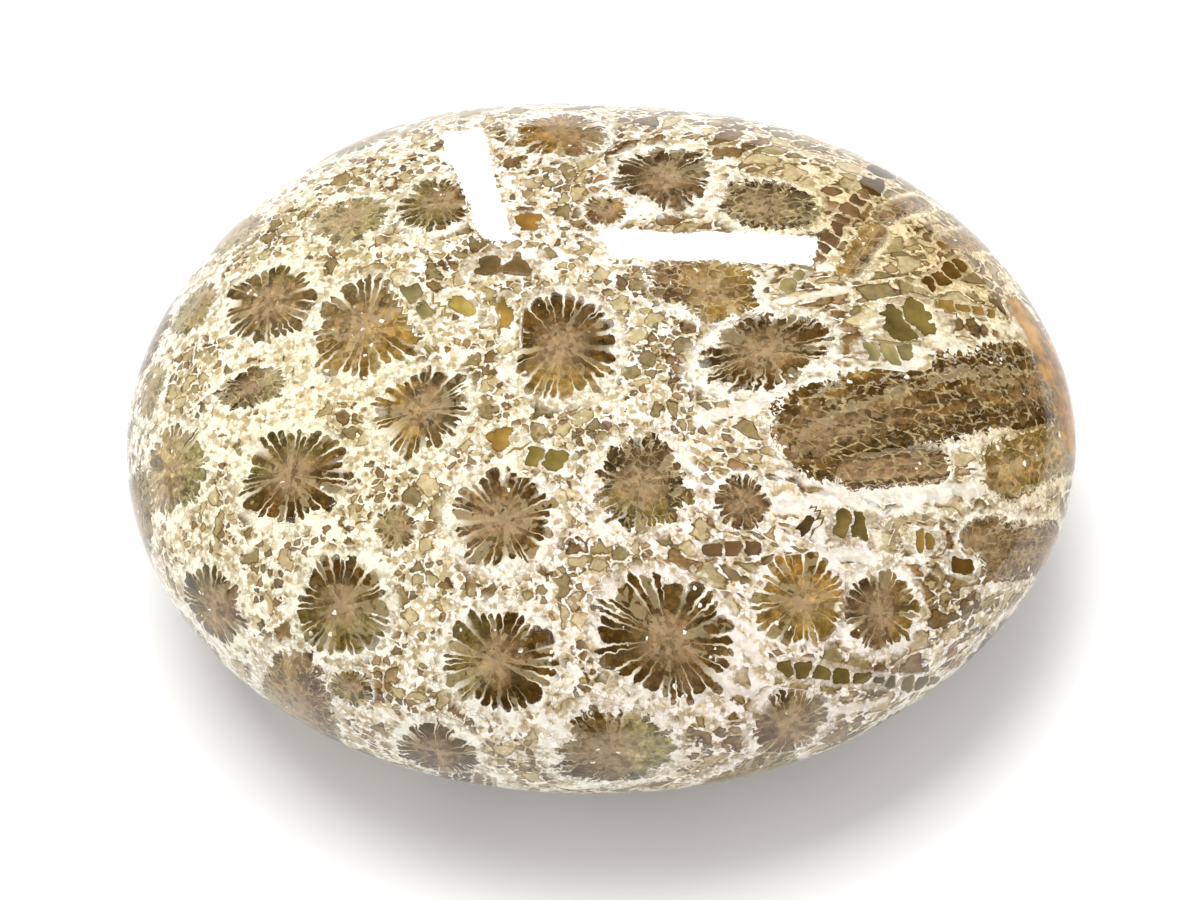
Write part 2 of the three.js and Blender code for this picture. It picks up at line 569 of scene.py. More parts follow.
@dataclass
class Colony:
    """The corallites in the stone, and what they write on its surface. Lengths are in millimetres."""

    view: PhotoView
    fan: Fan
    stone: bpy.types.Object
    seed: int = 7
    row_margin: float = 0.6
    row_first: float = 100.0
    seen_depth: float = 3.0
    hidden_depth: float = 2.5
    hidden_gap: float = 0.9
    hidden_tries: int = 9000
    hidden_radius: tuple[float, float] = (2.8, 4.1)
    hidden_below: float = 0.1
    least_square_on: float = 0.3
    meshed_below: float = 0.6
    meshed_crisp: float = 0.38

    def __post_init__(self) -> None:
        """Make the stone's surface searchable by rays, and list its corners in millimetres."""
        self.surface = BVHTree.FromObject(self.stone, bpy.context.evaluated_depsgraph_get())
        corners = np.empty(len(self.stone.data.vertices) * 3)
        self.stone.data.vertices.foreach_get("co", corners)
        self.corners = corners.reshape(-1, 3) / MM

    def find(self, seen: Pixel) -> tuple[Vector, Vector]:
        """Find the place on the stone that a pixel shows.

        Args:
            seen: The pixel. One that misses the stone is moved towards the middle of the frame.

        Returns:
            The place, in metres, and the outward direction there.
        """
        middle_x = self.view.frame_width_px / 2
        middle_y = self.view.frame_height_px / 2
        for hundredths in range(50):
            keep = 1 - hundredths / 100
            nearer = Pixel(
                middle_x + (seen.x - middle_x) * keep, middle_y + (seen.y - middle_y) * keep
            )
            place, normal, _, _ = self.surface.ray_cast(self.view.eye(), self.view.ray(nearer))
            if place is not None:
                return place, normal
        raise ValueError(f"no surface near {seen}")

    def tube_across(self, marks: Corallite, seed: float) -> Tube:
        """Set a corallite in the stone so that its cut has the shape that the photograph shows.

        Args:
            marks: The corallite.
            seed: A number from 0 to 1 that tells it from the others.

        Returns:
            The tube.
        """
        place, normal = self.find(marks.seen_at)
        radius = marks.across_px * self.view.pixel_size(place) / MM / 2
        middle = np.array(place) / MM
        outward = np.array(normal)
        if marks.stretch_deg is None:
            heading = np.array([middle[0] - self.fan.middle_x, middle[1] - self.fan.middle_y, 0.0])
        else:
            turn = math.radians(marks.stretch_deg)
            heading = np.array([math.cos(turn), math.sin(turn), 0.0])
        heading -= outward * float(heading @ outward)
        heading /= np.linalg.norm(heading)
        tilt = math.acos(1.0 / marks.stretch)
        along = outward * math.cos(tilt) + heading * math.sin(tilt)
        half_length = radius * math.tan(tilt) + self.seen_depth
        return Tube(middle, along, radius, half_length, marks, seed)

    def tube_along(self, marks: Lengthwise, seed: float) -> Tube:
        """Lay a tube along the surface, where the photograph shows it cut lengthwise.

        Args:
            marks: The tube.
            seed: A number from 0 to 1 that tells it from the others.

        Returns:
            The tube.
        """
        start, _ = self.find(marks.start)
        end, _ = self.find(marks.end)
        half_way = Pixel((marks.start.x + marks.end.x) / 2, (marks.start.y + marks.end.y) / 2)
        top, outward = self.find(half_way)
        radius = marks.width_px * self.view.pixel_size(top) / MM / 2
        middle = np.array((start + end) / 4 + top / 2) / MM
        if not marks.chambers:
            radius /= math.sqrt(1 - marks.sunk_share**2)
            middle -= np.array(outward) * radius * marks.sunk_share
        chord = np.array(end - start) / MM
        length = float(np.linalg.norm(chord))
        return Tube(middle, chord / length, radius, length / 2, marks, seed)

    def seen_tubes(self) -> list[Tube]:
        """Set the corallites and rows of chambers that the photograph shows.

        Returns:
            One tube for each.
        """
        draw = random.Random(self.seed)
        across = [self.tube_across(marks, draw.random()) for marks in SEEN_CORALLITES]
        return across + [self.tube_along(marks, draw.random()) for marks in SEEN_LENGTHWISE]

    def hidden_tubes(self, seen: list[Tube]) -> list[Tube]:
        """Fill the sides and the underside, which the photograph doesn't show, with corallites.

        Args:
            seen: The corallites already there.

        Returns:
            The new tubes.
        """
        draw = random.Random(self.seed + 1)
        eye = self.view.eye()
        vertices = self.stone.data.vertices
        stains = (Stain.DEEP_BROWN, Stain.BROWN, Stain.OLIVE, Stain.GREY_BROWN, Stain.SMOKE)
        seconds = (Stain.GOLDEN, Stain.BROWN, Stain.OLIVE)
        tubes: list[Tube] = []
        room = np.full(len(vertices), np.inf)
        for tube in seen:
            room = np.minimum(room, (tube.measure(self.corners)[0] - 1.0) * tube.radius)
        for _ in range(self.hidden_tries):
            number = draw.randrange(len(vertices))
            corner = vertices[number]
            radius = draw.uniform(*self.hidden_radius)
            if corner.normal.dot((eye - corner.co).normalized()) > self.hidden_below:
                continue
            if room[number] < radius + self.hidden_gap:
                continue
            middle = self.corners[number]
            along = self.fan.direction(middle)
            square_on = max(abs(float(along @ np.array(corner.normal))), self.least_square_on)
            crisp = draw.uniform(0.5, 1.0)
            marks = Corallite(
                None,
                0,
                draw.choice(stains),
                draw.choice(seconds),
                draw.uniform(0.1, 0.5),
                draw.uniform(-180, 180),
                crisp=crisp if square_on > self.meshed_below else self.meshed_crisp,
                septa=draw.choice((22, 24, 26, 28)),
            )
            half_length = radius * math.tan(math.acos(square_on)) + self.hidden_depth
            tube = Tube(middle, along, radius, half_length, marks, draw.random())
            room = np.minimum(room, (tube.measure(self.corners)[0] - 1.0) * radius)
            tubes.append(tube)
        return tubes

    def write(self) -> None:
        """Store at each corner of the surface where it lies in the nearest tube."""
        seen = self.seen_tubes()
        hidden = self.hidden_tubes(seen)
        LOG.info("tubes: %d seen in the photograph, %d on the other sides", len(seen), len(hidden))
        tubes = seen + hidden
        count = len(self.corners)
        nearest = np.full(count, np.inf)
        local = np.zeros((count, 3))
        owner = np.zeros(count, dtype=int)
        for number, tube in enumerate(tubes):
            reach, inside = tube.measure(self.corners)
            # A row of chambers comes before any corallite that it meets.
            if tube.chambers():
                in_row = (reach - 1.0) * tube.radius < self.row_margin
                reach = np.where(in_row, reach - self.row_first, np.inf)
            closer = reach < nearest
            nearest = np.where(closer, reach, nearest)
            local[closer] = inside[closer]
            owner[closer] = number
        radii = np.array([tube.radius for tube in tubes])[owner]
        facts = np.array([[tube.seed, tube.marks.septa, tube.marks.crisp] for tube in tubes])
        sides = np.array([tube.second_side() for tube in tubes])
        forms = np.array([tube.form() for tube in tubes])
        stains = np.array([daylight(tube.marks.stain.value) for tube in tubes])
        seconds = np.array([daylight(tube.marks.second.value) for tube in tubes])
        nearest = np.where(forms[owner][:, 2] > 0, nearest + self.row_first, nearest)
        self.store("tube_place", local)
        # An attribute keeps three numbers, and this one needs two.
        self.store("tube_reach", np.stack([nearest, radii, np.zeros(count)], axis=1))
        self.store("tube_facts", facts[owner])
        self.store("tube_side", sides[owner])
        self.store("tube_form", forms[owner])
        self.store("tube_stain", stains[owner])
        self.store("tube_second", seconds[owner])
        self.store("wash", self.washes())
        self.store("veins_and_rim_light", self.veins_and_rim_light())
        self.store("fan_place", self.fan.drawn_in(self.corners))

    def washes(self) -> np.ndarray:
        """Blend the soft patches of tone.

        Returns:
            The white coral's colour at each corner.
        """
        colour = np.tile(daylight(Tone.WHITE.value), (len(self.corners), 1))
        for wash in SEEN_WASHES:
            middle, _ = self.find(wash.seen_at)
            reach = wash.reach_px * self.view.pixel_size(middle) / MM
            away = np.linalg.norm(self.corners - np.array(middle) / MM, axis=1) / reach
            share = (wash.share * np.exp(-(away**2)))[:, None]
            colour = colour * (1 - share) + np.array(daylight(wash.tone.value)) * share
        return colour

    def veins_and_rim_light(self) -> np.ndarray:
        """Measure how near each corner is to the bands.

        Returns:
            At each corner, from 0 to 1: the white bands, the amber edge with painted light shining
                through it, and the greyish rim of painted reflection.
        """
        kinds = (SEEN_BANDS, SEEN_LIT_AMBER_EDGE, SEEN_RIM_REFLECTION)
        return np.stack([self.nearness(bands) for bands in kinds], axis=1)

    def nearness(self, bands: tuple[Band, ...]) -> np.ndarray:
        """Measure how near each corner is to the middle line of the nearest band.

        Args:
            bands: The bands.

        Returns:
            1 on a band's middle line, 0.5 at its edge, 0 at twice as far.
        """
        most = np.zeros(len(self.corners))
        for band in bands:
            start = np.array(self.find(band.start)[0]) / MM
            end = np.array(self.find(band.end)[0]) / MM
            run = end - start
            share = np.clip((self.corners - start) @ run / float(run @ run), 0.0, 1.0)
            away = np.linalg.norm(self.corners - start - share[:, None] * run, axis=1)
            width = band.width_px * self.view.pixel_size(Vector(start * MM)) / MM
            most = np.maximum(most, 1.0 - away / width)
        return most

    def store(self, name: str, values: np.ndarray) -> None:
        """Keep one vector for each corner of the surface.

        Args:
            name: The attribute's name.
            values: One row of three numbers for each corner.
        """
        attribute = self.stone.data.attributes.new(name, "FLOAT_VECTOR", "POINT")
        attribute.data.foreach_set("vector", values.astype(np.float32).ravel())


class Signal:
    """A number, colour or vector that flows between the nodes of one material."""

    def __init__(self, bench: "Bench", socket: bpy.types.NodeSocket) -> None:
        """Remember the socket that the signal comes from."""
        self.bench = bench
        self.socket = socket

    def __add__(self, other: "Signal | float") -> "Signal":
        """Add."""
        return self.bench.maths("ADD", self, other)

    def __radd__(self, other: float) -> "Signal":
        """Add to a number."""
        return self.bench.maths("ADD", other, self)

    def __sub__(self, other: "Signal | float") -> "Signal":
        """Subtract."""
        return self.bench.maths("SUBTRACT", self, other)

    def __rsub__(self, other: float) -> "Signal":
        """Subtract from a number."""
        return self.bench.maths("SUBTRACT", other, self)

    def __mul__(self, other: "Signal | float") -> "Signal":
        """Multiply."""
        return self.bench.maths("MULTIPLY", self, other)

    def __truediv__(self, other: "Signal | float") -> "Signal":
        """Divide."""
        return self.bench.maths("DIVIDE", self, other)


Flow = Signal | float | tuple


class Bench:
    """Adds nodes to one material and hands back what flows out of them."""

    def __init__(self, material: bpy.types.Material) -> None:
        """Start with an empty node tree."""
        material.use_nodes = True
        self.nodes = material.node_tree.nodes
        self.links = material.node_tree.links
        self.nodes.clear()

    def feed(self, socket: bpy.types.NodeSocket, value: Flow) -> None:
        """Link a signal to a socket, or set the socket's own value.

        Args:
            socket: The input socket.
            value: A signal, a number, or three numbers.
        """
        if isinstance(value, Signal):
            self.links.new(value.socket, socket)
        elif socket.type == "RGBA":
            socket.default_value = (*value, 1.0)
        else:
            socket.default_value = value

    def add(
        self, kind: str, inputs: dict[int | str, Flow], output: int | str = 0, **settings: str
    ) -> Signal:
        """Add a node.

        Args:
            kind: The node's type.
            inputs: What each of its sockets gets, by the socket's number or name.
            output: The socket that its signal comes from, by number or name.
            settings: The node's own options.

        Returns:
            What flows out of it.
        """
        node = self.nodes.new(kind)
        for name, value in settings.items():
            setattr(node, name, value)
        for socket, value in inputs.items():
            self.feed(node.inputs[socket], value)
        return Signal(self, node.outputs[output])

    def surface(self, kind: str, values: dict[str, float | tuple]) -> bpy.types.Node:
        """Add the shader that the material ends in.

        Args:
            kind: The shader's type.
            values: What its own sockets are set to, by name.

        Returns:
            The shader.
        """
        shader = self.nodes.new(kind)
        for name, value in values.items():
            shader.inputs[name].default_value = value
        output = self.nodes.new("ShaderNodeOutputMaterial")
        self.links.new(shader.outputs[0], output.inputs["Surface"])
        return shader

    def maths(self, operation: str, *values: Flow) -> Signal:
        """Add a Math node."""
        return self.add("ShaderNodeMath", dict(enumerate(values)), operation=operation)

    def vector_maths(self, operation: str, *values: Flow) -> Signal:
        """Add a Vector Math node that gives a vector."""
        return self.add("ShaderNodeVectorMath", dict(enumerate(values)), operation=operation)

    def scaled(self, vector: Signal, factor: Flow) -> Signal:
        """Make a vector longer or shorter."""
        return self.add("ShaderNodeVectorMath", {0: vector, "Scale": factor}, operation="SCALE")

    def step(self, value: Signal, low: float, high: float) -> Signal:
        """Rise smoothly from 0 at low to 1 at high."""
        inputs = {"Value": value, "From Min": low, "From Max": high}
        return self.add("ShaderNodeMapRange", inputs, interpolation_type="SMOOTHSTEP")

    def mixed(self, share: Flow, first: Flow, second: Flow) -> Signal:
        """Mix two numbers; a share of 1 gives the second."""
        return self.add("ShaderNodeMix", {0: share, 2: first, 3: second}, data_type="FLOAT")

    def painted(self, share: Flow, first: Flow, second: Flow, way: str = "MIX") -> Signal:
        """Mix two colours; a share of 1 gives the second."""
        inputs = {0: share, 6: first, 7: second}
        return self.add("ShaderNodeMix", inputs, 2, data_type="RGBA", blend_type=way)

    def between(self, share: Signal, tones: tuple[str, str]) -> Signal:
        """Mix two tones; a share of 1 gives the second."""
        return self.painted(share, daylight(tones[0]), daylight(tones[1]))

    def toned(self, colour: Flow, tone: Signal) -> Signal:
        """Make a colour lighter or darker."""
        return self.painted(1.0, colour, self.joined(tone, tone, tone), "MULTIPLY")

    def split(self, vector: Signal) -> tuple[Signal, Signal, Signal]:
        """Take a vector apart."""
        first = self.add("ShaderNodeSeparateXYZ", {0: vector})
        return tuple(Signal(self, socket) for socket in first.socket.node.outputs)

    def joined(self, x: Flow, y: Flow, z: Flow) -> Signal:
        """Put a vector together."""
        return self.add("ShaderNodeCombineXYZ", {0: x, 1: y, 2: z})

    def attribute(self, name: str) -> Signal:
        """Read a vector that the mesh keeps."""
        settings = {"attribute_type": "GEOMETRY", "attribute_name": name}
        return self.add("ShaderNodeAttribute", {}, "Vector", **settings)

    def place(self) -> Signal:
        """Give the place on the piece, in millimetres."""
        return self.scaled(self.add("ShaderNodeTexCoord", {}, "Object"), 1 / MM)

    def noise(self, place: Signal, size: float, detail: float = 2.0, colour: bool = False) -> Signal:
        """Add soft noise.

        Args:
            place: Where it is read.
            size: The size of its lumps, in the units of the place.
            detail: How many finer layers it has.
            colour: True for three numbers, False for one.

        Returns:
            The noise, around a half.
        """
        inputs = {"Vector": place, "Scale": 1 / size, "Detail": detail}
        return self.add("ShaderNodeTexNoise", inputs, "Color" if colour else "Fac")

    def centred_noise(self, place: Signal, size: float, detail: float) -> Signal:
        """Add soft noise of three numbers around 0."""
        return self.vector_maths("SUBTRACT", self.noise(place, size, detail, True), (0.5, 0.5, 0.5))

    def warped(self, place: Signal, size: float, amount: float, detail: float = 2.0) -> Signal:
        """Shift places by noise.

        Args:
            place: Where.
            size: The size of the noise's lumps.
            amount: The most that a place moves, roughly.
            detail: How many finer layers the noise has.

        Returns:
            The shifted place.
        """
        shift = self.scaled(self.centred_noise(place, size, detail), amount)
        return self.vector_maths("ADD", place, shift)

    def cells(self, place: Signal, size: float) -> tuple[Signal, Signal]:
        """Divide space into irregular cells.

        Args:
            place: Where it is read.
            size: The cells' rough size, in the units of the place.

        Returns:
            The distance from the nearest cell wall, in the units of the place, and three random numbers
            that are the same all over a cell.
        """
        inputs = {"Vector": place, "Scale": 1 / size}
        walls = self.add("ShaderNodeTexVoronoi", inputs, "Distance", feature="DISTANCE_TO_EDGE")
        return walls * size, self.add("ShaderNodeTexVoronoi", inputs, "Color", feature="F1")

    def dice(self, number: Signal) -> tuple[Signal, Signal, Signal]:
        """Give three random numbers for each whole number."""
        return self.split(
            self.add("ShaderNodeTexWhiteNoise", {"W": number}, "Color", noise_dimensions="1D")
        )


@dataclass(frozen=True)
class Facets:
    """Small cells of the stone, which the coral and the chalcedony share.

    edge is the distance from a cell's wall in millimetres. The others are random numbers from 0 to 1
    that are the same all over a cell.
    """

    edge: Signal
    pick: Signal
    tone: Signal
    third: Signal


@dataclass(frozen=True)
class Spokes:
    """Where a place lies between the septa of its corallite.

    far is the distance from the axis, 1 at the tube's wall. turns counts the petals around the axis.
    offset is 0 in a petal's middle and 1 at the septa beside it, and gap is the petal's width there in
    millimetres. near_rim rises to 1 at the wall. massive is 1 where the corallite is a mass of meshes,
    with faint septa. sway is soft noise around the axis.
    """

    far: Signal
    turns: Signal
    offset: Signal
    gap: Signal
    near_rim: Signal
    massive: Signal
    sway: Signal


@dataclass(frozen=True)
class CoralFinish:
    """The polished cut through coral and chalcedony. Sizes are in millimetres on the stone."""

    facet_size: float = 0.34
    grain_size: float = 0.62
    large_cell_size: float = 1.25
    thin_septum: float = 0.035
    thick_septum: float = 0.15
    petal_end: float = 1.05
    tip_swing: float = 0.22
    lobe_swing: float = 0.7
    ring_starts: float = 1.06
    flower_ends: float = 1.3
    ring_ends: float = 1.38
    ring_beside_row: float = 0.5
    crowding: float = 0.006
    white_band_share: float = 0.7
    # This share paints the amber edge: amber chalcedony with light shining through the thin edge.
    lit_amber_share: float = 0.85
    # This share paints the greyish rim reflection of the polished edge.
    rim_reflection_share: float = 0.6
    roughness: float = 0.03
    ior: float = 1.54
    bump_height: float = 0.004
    bump_size: float = 0.6
    septum_tones: tuple[str, str] = ("#b9a478", "#ece2cd")
    middle_tone: str = "#a18867"
    pale_tone: str = "#b3a27c"
    # This tone paints the white specks: quartz grains, and painted sparkle of light mirrored inside the
    # stone.
    speck_and_sparkle_tone: str = "#efe7d8"
    # These tones paint the amber edge: amber chalcedony with light shining through the thin edge.
    lit_amber_tones: tuple[str, str] = ("#6c4606", "#b98420")
    # This tone paints the greyish rim reflection of the polished edge.
    rim_reflection_tone: str = "#938b70"
    # This tone paints shade inside the walls of the clear cells, where the chalcedony looks deeper.
    cell_depth_shade_tone: str = "#a08b68"
    veil_tone: str = "#c6ac78"
    crease_tone: str = "#7b6440"
    nib_tones: tuple[str, str] = ("#66502e", "#b3a274")
    small_cell_tones: tuple[str, str] = ("#948155", "#80603a")
    large_cell_tones: tuple[str, str] = ("#a08c5c", "#8a6a3e")
    clouded_cell_tone: str = "#cbbb92"

    def material(self) -> bpy.types.Material:
        """Make the material.

        Returns:
            The material, which reads what the colony has written on the mesh.
        """
        material = bpy.data.materials.new("fossil_coral")
        bench = Bench(material)
        place = bench.place()
        fan_place = bench.attribute("fan_place")
        facets = self.cut(bench, bench.warped(place, 0.5, 0.25), self.facet_size)
        grains = self.cut(bench, bench.warped(fan_place, 0.5, 0.5, 3.0), self.grain_size)
        _, _, row = bench.split(bench.attribute("tube_form"))
        flower, flower_share, ring = self.flower(bench, place, facets, grains)
        ladder, ladder_share = self.ladder(bench, place)
        is_ladder = bench.step(row, 0.85, 0.95)
        tube = bench.painted(is_ladder, flower, ladder)
        tube_share = bench.mixed(is_ladder, flower_share, ladder_share)
        ring = bench.maths("MAXIMUM", ring, is_ladder * self.ring_beside_row)
        ground = self.veined(bench, facets, self.ground(bench, place, ring, facets, grains))
        colour = bench.painted(tube_share, ground, tube)
        self.shade(bench, place, self.rimmed(bench, place, colour))
        return material

    def cut(self, bench: Bench, place: Signal, size: float) -> Facets:
        """Divide the stone into small cells of one size."""
        edge, draw = bench.cells(place, size)
        return Facets(edge, *bench.split(draw))

    def veined(self, bench: Bench, facets: Facets, colour: Signal) -> Signal:
        """Lay the white bands over the coral between the corallites.

        Args:
            bench: The node bench.
            facets: The finest cells.
            colour: The colour without them.

        Returns:
            The colour with them.
        """
        white, _, _ = bench.split(bench.attribute("veins_and_rim_light"))
        streaks = bench.noise(bench.attribute("fan_place"), 0.7, 4.0)
        white = bench.step(white + (streaks - 0.5) * 2.6, 0.3, 0.55)
        tone = 0.66 + facets.tone * 0.16 + (streaks - 0.35) * 0.8
        streaked = bench.toned(bench.attribute("wash"), tone)
        return bench.painted(white * self.white_band_share, colour, streaked)

    def rimmed(self, bench: Bench, place: Signal, colour: Signal) -> Signal:
        """Lay the amber edge, with painted light shining through it, and the greyish rim of painted
        reflection over the rest.

        Args:
            bench: The node bench.
            place: The place on the stone, in millimetres.
            colour: The colour without them.

        Returns:
            The colour with them.
        """
        _, lit_amber, rim_reflection = bench.split(bench.attribute("veins_and_rim_light"))
        cloud = bench.noise(place, 1.6, 3.0)
        sway = (cloud - 0.5) * 0.8
        lit_amber = bench.step(lit_amber + sway, 0.25, 0.6)
        rim_reflection = bench.step(rim_reflection + sway, 0.2, 0.7)
        lit_amber_tone = bench.between(bench.step(cloud, 0.35, 0.65), self.lit_amber_tones)
        # The amber edge: amber chalcedony with painted light shining through it.
        colour = bench.painted(lit_amber * self.lit_amber_share, colour, lit_amber_tone)
        # Painted reflection: the greyish rim where the polished edge mirrors something dark.
        return bench.painted(rim_reflection * self.rim_reflection_share, colour, daylight(self.rim_reflection_tone))

    def flower(
        self, bench: Bench, place: Signal, facets: Facets, grains: Facets
    ) -> tuple[Signal, Signal, Signal]:
        """Draw the corallites: petals of chalcedony between white septa.

        Args:
            bench: The node bench.
            place: The place on the stone, in millimetres.
            facets: The finest cells.
            grains: The next larger cells.

        Returns:
            The flower's colour, where the flower is, and how far outside it a place is: 0 inside,
            rising to 1 where the white ring around it ends.
        """
        seed, septa, crisp = bench.split(bench.attribute("tube_facts"))
        reach, radius, _ = bench.split(bench.attribute("tube_reach"))
        fuzz = bench.mixed(crisp, 0.3, 0.08)
        ragged = bench.centred_noise(place, 0.55, 3.0)
        _, _, ragged_reach = bench.split(ragged)
        rough = fuzz * (0.5 + bench.maths("MINIMUM", reach, 1.0) * 1.5)
        local = bench.vector_maths("ADD", bench.attribute("tube_place"), bench.scaled(ragged, rough))
        u, v, _ = bench.split(local)
        far = bench.maths("SQRT", u * u + v * v + NEARLY_ZERO)
        shared = bench.maths("MAXIMUM", far, reach + ragged_reach * fuzz * 2.0)
        around = bench.joined(u / far, v / far, seed * SWAY_SALT)
        sway = bench.noise(around, 0.5, 1.0)
        turns = bench.maths("ARCTAN2", v, u) * septa * (1 / math.tau)
        turns = turns + (sway - 0.5) * 4.0 + seed * TURN_SALT
        offset = bench.maths("ABSOLUTE", bench.maths("FRACT", turns) - 0.5) * 2.0
        tip_draw, *draws = self.draws(bench, bench.maths("FLOOR", turns), PETAL_SALT)
        gap = far * radius * math.tau / septa
        near_rim = bench.step(far, 0.5, 1.0)
        massive = 1.0 - bench.step(crisp, 0.32, 0.62)
        spokes = Spokes(far, turns, offset, gap, near_rim, massive, sway)
        lobes = bench.noise(around, 1.0, 2.0)
        end = self.petal_end + (tip_draw - 0.5) * self.tip_swing + (lobes - 0.5) * self.lobe_swing
        tip = gap / radius * 0.9
        past = bench.maths("MAXIMUM", (shared - end + tip) / tip, 0.0)
        inside = 1.0 - offset * offset * bench.step(past, -0.2, 0.3) - past * past
        share = bench.step(inside, -0.06, 0.16)
        stain = self.stained(bench, place, local, draws, (facets, grains), shared, inside)
        septum_tone = bench.between(near_rim, self.septum_tones)
        flower = bench.painted(self.septum(bench, spokes), stain, septum_tone)
        flower = self.filled(bench, flower, stain, spokes, facets, grains)
        bounded = 1.0 - bench.step(shared, self.flower_ends, self.ring_ends)
        return flower, share * bounded, bench.step(shared, self.ring_starts, self.ring_ends)

    def draws(self, bench: Bench, number: Signal, salt: float) -> tuple[Signal, Signal, Signal]:
        """Give three random numbers for each petal or septum.

        Args:
            bench: The node bench.
            number: The petal's or septum's number, counted around the axis.
            salt: A number that keeps these draws apart from others.

        Returns:
            The numbers, from 0 to 1.
        """
        seed, septa, _ = bench.split(bench.attribute("tube_facts"))
        return bench.dice(bench.maths("FLOORED_MODULO", number, septa) + seed * salt)

    def septum(self, bench: Bench, spokes: Spokes) -> Signal:
        """Draw the septa, of which every second one starts only part of the way out.

        Args:
            bench: The node bench.
            spokes: The place between the septa.

        Returns:
            How much of a septum shows, from 0 to 1.
        """
        far = spokes.far
        number = bench.maths("FLOOR", spokes.turns + 0.5)
        start_draw, width_draw, fade_draw = self.draws(bench, number, SEPTUM_SALT)
        minor = bench.maths("FLOORED_MODULO", number, 2.0)
        start = 0.45 + start_draw * 0.35
        grown = 1.0 - minor * (1.0 - bench.step(far - start, -0.04, 0.04))
        width = bench.mixed(far * far * far, self.thin_septum, self.thick_septum)
        width = width * (0.3 + width_draw * 1.4)
        beside = (1.0 - spokes.offset) * spokes.gap * 0.5 - width * 0.5
        septum = (1.0 - bench.step(beside, -0.01, 0.05)) * grown
        shown = bench.step(fade_draw, 0.1, 0.6)
        septum = septum * bench.mixed(shown, 0.15, 1.0) * bench.mixed(spokes.near_rim, 0.65, 1.0)
        septum = septum * bench.mixed(spokes.massive, 1.0, 0.3)
        return septum * bench.mixed(bench.step(far, 0.2, 0.6), 0.3, 1.0)

    def filled(
        self, bench: Bench, flower: Signal, stain: Signal, spokes: Spokes, facets: Facets, grains: Facets
    ) -> Signal:
        """Add the meshes of a massive corallite, the spongy middle and the white specks, which are quartz
        grains and painted sparkle of light mirrored inside the stone.

        Args:
            bench: The node bench.
            flower: The flower's colour without them.
            stain: The chalcedony's colour.
            spokes: The place between the septa.
            facets: The finest cells.
            grains: The next larger cells.

        Returns:
            The flower's colour.
        """
        mesh = (1.0 - bench.step(grains.edge, 0.0, 0.06)) * spokes.massive
        mesh = mesh * bench.step(facets.third, 0.2, 0.8)
        flower = bench.painted(mesh, flower, daylight(self.septum_tones[0]))
        swing = spokes.sway - 0.5
        middle = 1.0 - bench.step(spokes.far + swing * 0.5 + (facets.pick - 0.5) * 0.3, 0.15, 0.6)
        sponge = bench.painted(bench.step(facets.third, 0.25, 0.75), daylight(self.middle_tone), stain)
        flower = bench.painted(middle * 0.7, flower, sponge)
        # The white specks are quartz grains, painted also as the sparkle of light mirrored inside the
        # stone.
        specks_and_sparkle = bench.step(facets.pick + swing * 0.1, 0.985, 0.99) * bench.step(facets.edge, 0.02, 0.05)
        return bench.painted(specks_and_sparkle, flower, daylight(self.speck_and_sparkle_tone))

    def stained(
        self,
        bench: Bench,
        place: Signal,
        local: Signal,
        draws: list[Signal],
        cells: tuple[Facets, Facets],
        shared: Signal,
        inside: Signal,
    ) -> Signal:
        """Colour the petals, with painted shade darkening each petal towards its edge, where the clear
        chalcedony looks deeper.

        Args:
            bench: The node bench.
            place: The place on the stone, in millimetres.
            local: The place across the tube.
            draws: Two random numbers for each petal.
            cells: The finest cells and the next larger ones.
            shared: The distance from the tube's axis, 1 at its wall.
            inside: How deep inside the petal, 0 at its edge.

        Returns:
            The colour.
        """
        tone_draw, kind_draw = draws
        facets, grains = cells
        u, v, _ = bench.split(local)
        side_u, side_v, share = bench.split(bench.attribute("tube_side"))
        cloud = bench.noise(place, 1.2, 4.0)
        level = u * side_u + v * side_v + share * 2.0 - 1.0 + (cloud - 0.5) * 1.4
        stain = bench.painted(
            bench.step(level, -0.3, 0.3), bench.attribute("tube_stain"), bench.attribute("tube_second")
        )
        inner = 1.0 - bench.step(shared, 0.1, 0.8)
        stain = bench.painted(inner * 0.4, stain, daylight(self.middle_tone))
        tone = bench.mixed(tone_draw, 0.7, 1.25) * (0.3 + cloud * 1.3) * (0.62 + facets.tone * 0.76)
        tone = tone * (0.7 + grains.tone * 0.62)
        tone = tone * bench.mixed(bench.step(shared, 0.4, 0.9), 1.05, 0.86)
        # Painted shade: each petal darkens towards its edge, where the clear chalcedony looks deeper.
        edge = 1.0 - bench.step(inside, 0.05, 0.4)
        crack = 1.0 - bench.step(facets.edge, 0.0, 0.035)
        tone = tone * (1.0 - edge * 0.35) * (1.0 - crack * 0.3)
        pale = kind_draw * 0.7 + grains.third * 0.3 + (facets.pick - 0.5) * 0.3
        pale = bench.step(pale, 0.68, 0.74)
        return bench.painted(pale * 0.45, bench.toned(stain, tone), daylight(self.pale_tone))

